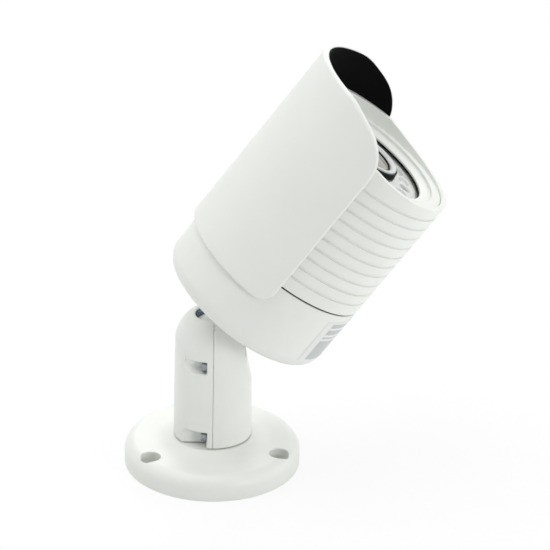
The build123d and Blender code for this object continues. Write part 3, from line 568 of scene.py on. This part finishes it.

# %% [markdown]
# ## Lamps
#
# An infrared lamp is an epoxy dome cast round a tiny metal cup, in which the die sits. The solids are
# the domes, whose milky white is a painted glint, and the cups sit inside them. Each dome's top in the
# solid tells where a cup goes.

# %% Cups inside the lamps
CUP_DEPTH = 2.6
CUP_HEIGHT = 1.3
CUP_RIM = 1.35
CUP_FLOOR = 0.5
CUP_WALL = 0.12
CUP_SIDES = 24
dome_points = points_of("ir_leds")
dome_top = max(point.z for point in dome_points)
top_points = [point for point in dome_points if point.z > dome_top - TOUCH]
dome_places = {(round(point.x, 1), round(point.y, 1)) for point in top_points}
cups = bmesh.new()
for across, beside in sorted(dome_places):
    bmesh.ops.create_cone(
        cups, cap_ends=False, segments=CUP_SIDES, radius1=CUP_FLOOR, radius2=CUP_RIM, depth=CUP_HEIGHT,
        matrix=Matrix.Translation((across, beside, dome_top - CUP_DEPTH)),
    )
bmesh.ops.solidify(cups, geom=cups.faces, thickness=CUP_WALL)
add_detail("lamp_cups", cups, "camera", alloy)
print(len(dome_places), "lamps")

# %% [markdown]
# ## Label
#
# Below the camera, on the rear housing, is a sticker. This one carries only plain grey panels. A flat
# grid with sides of 1 is a map of it: across the grid runs the way round the housing, and up the grid
# the way along it. The housing's wall is drafted a little, so its radius is read off the solid.

# %% Place and print of the sticker
LABEL_LENGTH = 20.0
LABEL_SETBACK = 1.6
LABEL_START_ANGLE = radians(139)
LABEL_END_ANGLE = radians(202)
LABEL_COLUMNS = 60
LABEL_ROWS = 40
LABEL_LIFT = 0.06
WALL_DRAFT = 0.6
# Each panel is (low, high) along the housing and (left, right) round it, as shares of the sticker
ink_panels = (
    (0.06, 0.52, 0.10, 0.90),
    (0.57, 0.62, 0.10, 0.80),
    (0.68, 0.80, 0.10, 0.45),
    (0.86, 0.96, 0.10, 0.45),
)
housing_points = points_of("rear_housing")
wall = [point for point in housing_points if radius_of(point) > barrel_radius - WALL_DRAFT]
wall_profile = sorted((point.z, radius_of(point)) for point in wall)
label_rear = wall_profile[0][0] + LABEL_SETBACK
print(f"sticker from {label_rear:.1f} to {label_rear + LABEL_LENGTH:.1f} mm")

# %% [markdown]
# We first note which faces of the flat grid have ink, then wrap the grid on the wall, and give those
# faces the second finish once the mesh is a piece.

# %% A plain sticker on the rear housing
GRID_HALF = 0.5
label = bmesh.new()
bmesh.ops.create_grid(label, x_segments=LABEL_COLUMNS, y_segments=LABEL_ROWS, size=GRID_HALF)
inked = []
for face in label.faces:
    middle = face.calc_center_median() + Vector((GRID_HALF, GRID_HALF, 0.0))
    inked.append(any(
        low < middle.y < high and left < middle.x < right for low, high, left, right in ink_panels
    ))
for vert in label.verts:
    angle = LABEL_START_ANGLE + (LABEL_END_ANGLE - LABEL_START_ANGLE) * (vert.co.x + GRID_HALF)
    station = label_rear + LABEL_LENGTH * (vert.co.y + GRID_HALF)
    radius = value_at(wall_profile, station) + LABEL_LIFT
    vert.co = (radius * cos(angle), radius * sin(angle), station)
sticker = add_detail("blank_label", label, "camera", vinyl)
sticker.data.materials.append(grey_ink)
for face, has_ink in zip(sticker.data.polygons, inked):
    face.material_index = int(has_ink)

# %% [markdown]
# ## Floor, light and white ground
#
# The studio is a pale floor under soft light from all round. The floor and the world look white to the
# view, but the floor takes shadows and the world lights the object only at a plain level. Reflections
# and glass see the white world too.

# %% Floor
WHITE = (1.0, 1.0, 1.0, 1.0)
FLOOR_HALF = 6.0
FLOOR_GLOW = 0.82
floor_material, tree = blank_material("studio_floor")
paper = add_node(tree, "ShaderNodeBsdfDiffuse", {"Color": colour("#f2f2f2")})
glow = add_node(tree, "ShaderNodeEmission", {"Color": WHITE, "Strength": 1.0})
ray = add_node(tree, "ShaderNodeLightPath")
seen_inputs = {0: ray.outputs["Is Camera Ray"], 1: FLOOR_GLOW}
seen = add_node(tree, "ShaderNodeMath", seen_inputs, operation="MULTIPLY")
floor_inputs = {0: seen.outputs[0], 1: paper.outputs[0], 2: glow.outputs[0]}
floor_mix = add_node(tree, "ShaderNodeMixShader", floor_inputs)
add_node(tree, "ShaderNodeOutputMaterial", {"Surface": floor_mix.outputs[0]})
floor_shape = bmesh.new()
bmesh.ops.create_grid(floor_shape, x_segments=1, y_segments=1, size=FLOOR_HALF)
floor_mesh = bpy.data.meshes.new("floor")
floor_shape.to_mesh(floor_mesh)
floor_shape.free()
floor_mesh.materials.append(floor_material)
floor = add_object("floor", floor_mesh)
floor.location.z = cad_box[0].z
print("floor at", round(floor.location.z, 4), "m")

# %% Light from all round
FILL_STRENGTH = 0.48
world = bpy.data.worlds.new("studio")
bpy.context.scene.world = world
world.use_nodes = True
tree = world.node_tree
tree.nodes.clear()
ray = add_node(tree, "ShaderNodeLightPath")
seen_inputs = {0: ray.outputs["Is Camera Ray"], 1: ray.outputs["Is Glossy Ray"]}
seen_or_mirrored = add_node(tree, "ShaderNodeMath", seen_inputs, operation="MAXIMUM")
direct_inputs = {0: seen_or_mirrored.outputs[0], 1: ray.outputs["Is Transmission Ray"]}
direct = add_node(tree, "ShaderNodeMath", direct_inputs, operation="MAXIMUM")
fill = add_node(tree, "ShaderNodeBackground", {"Color": colour("#f5f6f6"), "Strength": FILL_STRENGTH})
ground = add_node(tree, "ShaderNodeBackground", {"Color": WHITE, "Strength": 1.0})
world_inputs = {0: direct.outputs[0], 1: fill.outputs[0], 2: ground.outputs[0]}
world_mix = add_node(tree, "ShaderNodeMixShader", world_inputs)
add_node(tree, "ShaderNodeOutputWorld", {"Surface": world_mix.outputs[0]})
print("the world lights at", FILL_STRENGTH)

# %% [markdown]
# Broad softboxes stand above, at both sides and behind, a metre or so away, which gives the coat its
# even white with soft shadows. A smaller key light at the front right models the front of the object.

# %% Softboxes
object_middle = (cad_box[0] + cad_box[1]) / 2


def softbox(name, place, side, power):
    """A square area lamp that looks at the object's middle, in metres and watts."""
    lamp = bpy.data.lights.new(name, "AREA")
    lamp.shape = "SQUARE"
    lamp.size = side
    lamp.energy = power
    box = add_object(name, lamp)
    box.location = place
    box.rotation_euler = (object_middle - Vector(place)).to_track_quat("-Z", "Y").to_euler()
    print(f"{name}: {side} m, {power} W")


softbox("top_light", place=(-0.10, 0.15, 1.10), side=1.0, power=3.8)
softbox("top_left_light", place=(-0.45, -0.10, 1.00), side=0.9, power=3.2)
softbox("left_light", place=(-1.00, 0.20, 0.50), side=0.8, power=1.2)
softbox("right_light", place=(1.00, 0.20, 0.40), side=0.7, power=2.7)
softbox("key_light", place=(0.80, -0.90, 0.35), side=0.3, power=3.5)
softbox("back_light", place=(0.10, 1.00, 0.70), side=0.9, power=3.7)

# %% [markdown]
# ## The camera that looks at it
#
# The view was fitted to the object's outline and to the near edge of its hood. They place the eye a bit
# over a metre away, about 25 degrees above level, with a long lens. The picture is rolled by about a
# degree, as the post leans a little in it.

# %% View
SENSOR_WIDTH = 36.0
FOCAL_LENGTH = 190.0
eye_distance = 1138.4 * MM
eye_elevation = radians(25.1)
eye_azimuth = radians(-1.71)
eye_roll = radians(1.28)
view_target = Vector((23.98, 30.92, 65.28)) * MM
level_reach = cos(eye_elevation)
backward = Vector((
    sin(eye_azimuth) * level_reach, -cos(eye_azimuth) * level_reach, sin(eye_elevation)
))
lens = bpy.data.cameras.new("view")
lens.sensor_width = SENSOR_WIDTH
lens.lens = FOCAL_LENGTH
eye = add_object("view", lens)
eye.location = view_target + backward * eye_distance
upright = (-backward).to_track_quat("-Z", "Y").to_matrix()
eye.rotation_euler = (upright @ Matrix.Rotation(eye_roll, 3, "Z")).to_euler()
bpy.context.scene.camera = eye
bpy.context.scene.view_settings.view_transform = "Standard"
print("eye at", [round(value, 4) for value in eye.location])
